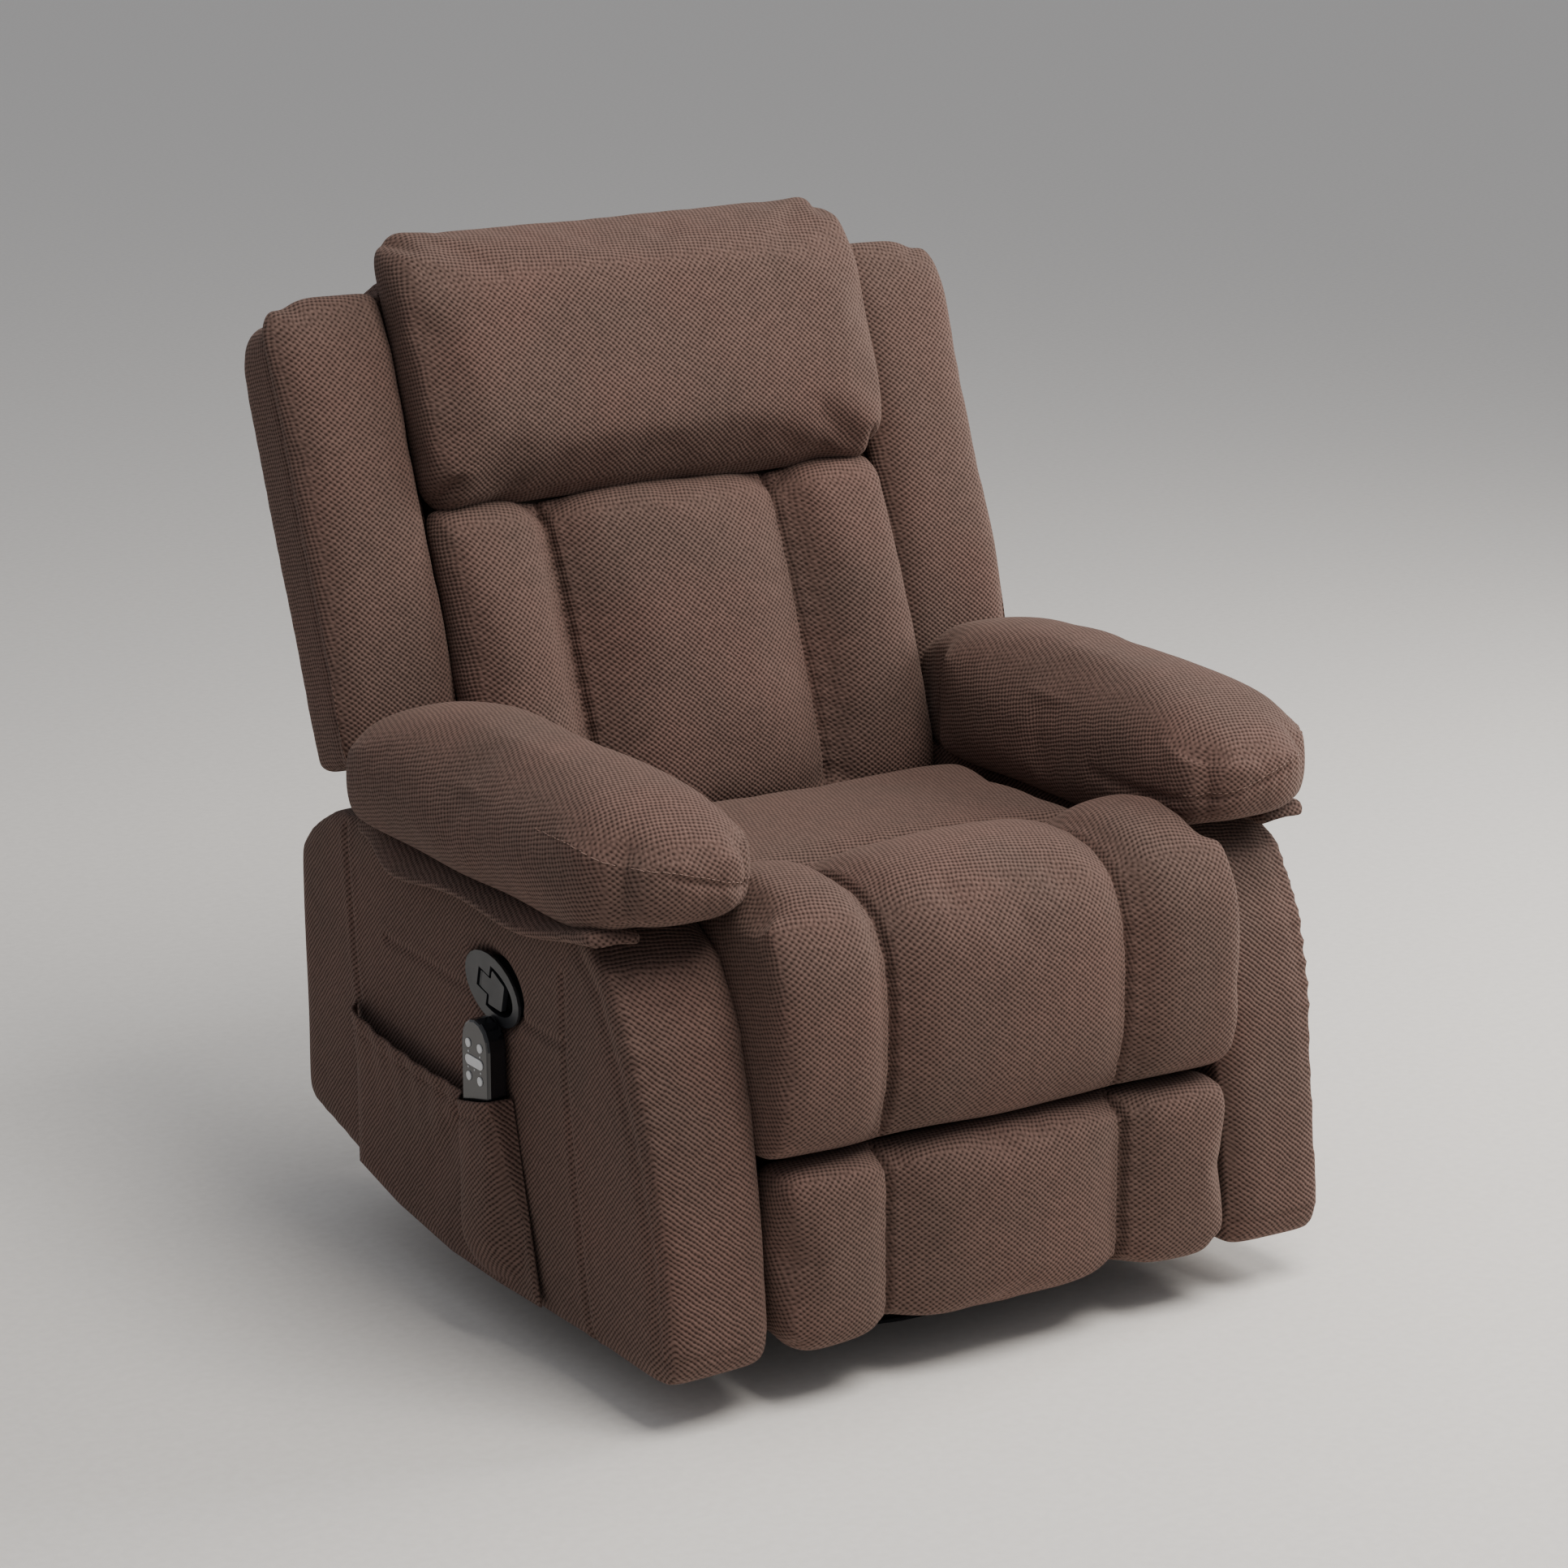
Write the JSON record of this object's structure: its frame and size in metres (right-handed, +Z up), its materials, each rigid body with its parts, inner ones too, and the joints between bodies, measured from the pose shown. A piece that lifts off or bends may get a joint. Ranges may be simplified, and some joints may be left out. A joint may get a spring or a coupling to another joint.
{
  "type": "massage chair",
  "caption": "Upholstered massage recliner with padded arms, side pocket with remote, release lever, folding footrest and a rocking swivel base.",
  "frame": {"origin": "on the floor, at the middle of the chair's width and depth, on the swivel axis", "axes": "+Z up, the chair faces -Y, +X is to the right as seen from the front"},
  "size_m": [0.894, 0.8802, 1.0669],
  "materials": {
    "chenille": "brown chenille with a raised dot weave",
    "black_steel": "black powder coat",
    "zinc_steel": "zinc plated",
    "spring_steel": "oiled spring wire",
    "plywood": "dark-stained plywood",
    "rubber": "matt",
    "charcoal_plastic": "fine grain",
    "gloss_plastic": "gloss black",
    "button_white": "white",
    "felt": "heating felt"
  },
  "bodies": {
    "base": {"base_rubber_foot": "rubber", "base_ring": "black_steel", "base_crossbars": "black_steel", "turntable_lower_plate": "zinc_steel", "turntable_ball_race": "zinc_steel", "turntable_spindle": "zinc_steel"},
    "swivel": {"turntable_upper_plate": "zinc_steel", "rocker_stand": "black_steel", "rocker_pin_left": "zinc_steel", "rocker_pin_right": "zinc_steel", "rocker_spring_front": "spring_steel", "rocker_spring_rear": "spring_steel"},
    "chassis": {"rocker_cam_left": "black_steel", "rocker_cam_right": "black_steel", "mechanism_rail_left": "black_steel", "mechanism_rail_right": "black_steel", "cross_tube_front": "black_steel", "cross_tube_rear": "black_steel", "seat_frame": "plywood", "seat_springs": "spring_steel", "seat_cushion": "chenille", "seat_bolster": "chenille", "arm_left_body": "chenille", "arm_right_body": "chenille", "arm_left_pad": "chenille", "arm_right_pad": "chenille", "rear_panel": "chenille", "side_pocket": "chenille", "lever_bezel": "charcoal_plastic", "release_cable": "rubber", "motor_seat": "gloss_plastic", "power_inlet": "gloss_plastic", "control_box": "gloss_plastic", "recline_pin_left": "zinc_steel", "recline_pin_right": "zinc_steel"},
    "lever": {"release_lever": "charcoal_plastic"},
    "back": {"back_frame": "plywood", "headrest_cushion": "chenille", "back_cushion": "chenille", "wing_left": "chenille", "wing_right": "chenille", "back_panel": "chenille", "lumbar_heat_pad": "felt", "motor_back_left": "gloss_plastic", "motor_back_right": "gloss_plastic"},
    "rotor_seat": {"motor_seat_weight": "zinc_steel"},
    "rotor_back_left": {"motor_back_left_weight": "zinc_steel"},
    "rotor_back_right": {"motor_back_right_weight": "zinc_steel"},
    "drive_left": {"footrest_drive_link_left": "zinc_steel"},
    "drive_right": {"footrest_drive_link_right": "zinc_steel"},
    "long_left": {"footrest_long_link_left": "zinc_steel"},
    "long_right": {"footrest_long_link_right": "zinc_steel"},
    "footrest": {"footrest_board": "plywood", "footrest_pad": "chenille"},
    "remote": {"remote_shell": "gloss_plastic"},
    "key_power": {"button_power": "button_white"},
    "key_heat": {"button_heat": "button_white"},
    "key_mode": {"button_mode": "button_white"},
    "key_back_zone": {"button_back_zone": "button_white"},
    "key_seat_zone": {"button_seat_zone": "button_white"}
  },
  "joints": [
    {"name": "swivel", "type": "hinge", "parent": "base", "child": "swivel", "pos_m": [0, 0, 0.03], "axis": [0, 0, 1], "continuous": true},
    {"name": "rock", "type": "hinge", "parent": "swivel", "child": "chassis", "pos_m": [0, 0, 0.13], "axis": [-1, 0, 0], "range_deg": [-5, 12], "stiffness_Nm_per_rad": 600, "deforming": ["rocker_spring_front", "rocker_spring_rear"]},
    {"name": "recline", "type": "hinge", "parent": "chassis", "child": "back", "pos_m": [0, 0.22, 0.43], "axis": [-1, 0, 0], "range_deg": [0, 40], "stiffness_Nm_per_rad": 30, "springref_deg": -57.3},
    {"name": "release", "type": "hinge", "parent": "chassis", "child": "lever", "pos_m": [-0.4102, -0.07266, 0.38253], "axis": [0, 0.2351, -0.972], "range_deg": [0, 35], "stiffness_Nm_per_rad": 0.2, "springref_deg": -17.19},
    {"name": "footrest_drive", "type": "hinge", "parent": "chassis", "child": "drive_left", "pos_m": [0, -0.2995, 0.2407], "axis": [-1, 0, 0], "range_deg": [0, 128.67]},
    {"name": "footrest_knee", "type": "hinge", "parent": "drive_left", "child": "long_left", "pos_m": [0, -0.17851, 0.12617], "axis": [-1, 0, 0], "range_deg": [-135, 0]},
    {"name": "footrest_board", "type": "hinge", "parent": "long_left", "child": "footrest", "pos_m": [0, -0.31748, 0.23138], "axis": [-1, 0, 0], "range_deg": [0, 92]},
    {"name": "footrest_drive_right", "type": "hinge", "parent": "chassis", "child": "drive_right", "pos_m": [0, -0.2995, 0.2407], "axis": [-1, 0, 0], "range_deg": [0, 128.67]},
    {"name": "footrest_knee_right", "type": "hinge", "parent": "drive_right", "child": "long_right", "pos_m": [0, -0.17851, 0.12617], "axis": [-1, 0, 0], "range_deg": [-135, 0]},
    {"name": "remote_slide", "type": "slide", "parent": "chassis", "child": "remote", "axis": [0, 0, 1], "range_m": [-0.06, 0.006], "stiffness_N_per_m": 400},
    {"name": "press_power", "type": "slide", "parent": "remote", "child": "key_power", "axis": [1, 0, 0], "range_m": [0, 0.0008], "stiffness_N_per_m": 300},
    {"name": "press_heat", "type": "slide", "parent": "remote", "child": "key_heat", "axis": [1, 0, 0], "range_m": [0, 0.0008], "stiffness_N_per_m": 300},
    {"name": "press_mode", "type": "slide", "parent": "remote", "child": "key_mode", "axis": [1, 0, 0], "range_m": [0, 0.0008], "stiffness_N_per_m": 300},
    {"name": "press_back_zone", "type": "slide", "parent": "remote", "child": "key_back_zone", "axis": [1, 0, 0], "range_m": [0, 0.0008], "stiffness_N_per_m": 300},
    {"name": "press_seat_zone", "type": "slide", "parent": "remote", "child": "key_seat_zone", "axis": [1, 0, 0], "range_m": [0, 0.0008], "stiffness_N_per_m": 300},
    {"name": "spin_seat", "type": "hinge", "parent": "chassis", "child": "rotor_seat", "pos_m": [0, -0.06, 0.3106], "axis": [0, 0, 1], "continuous": true},
    {"name": "spin_back_left", "type": "hinge", "parent": "back", "child": "rotor_back_left", "pos_m": [-0.13, 0.24358, 0.60304], "axis": [0, 0.9336, -0.3584], "continuous": true},
    {"name": "spin_back_right", "type": "hinge", "parent": "back", "child": "rotor_back_right", "pos_m": [0.13, 0.24358, 0.60304], "axis": [0, 0.9336, -0.3584], "continuous": true}
  ],
  "couplings": [
    {"joint": "footrest_knee", "follows": "footrest_drive", "ratio": -1.0441},
    {"joint": "footrest_board", "follows": "footrest_drive", "ratio": 0.7063},
    {"joint": "footrest_drive_right", "follows": "footrest_drive", "ratio": 1},
    {"joint": "footrest_knee_right", "follows": "footrest_drive", "ratio": -1.0441}
  ]
}
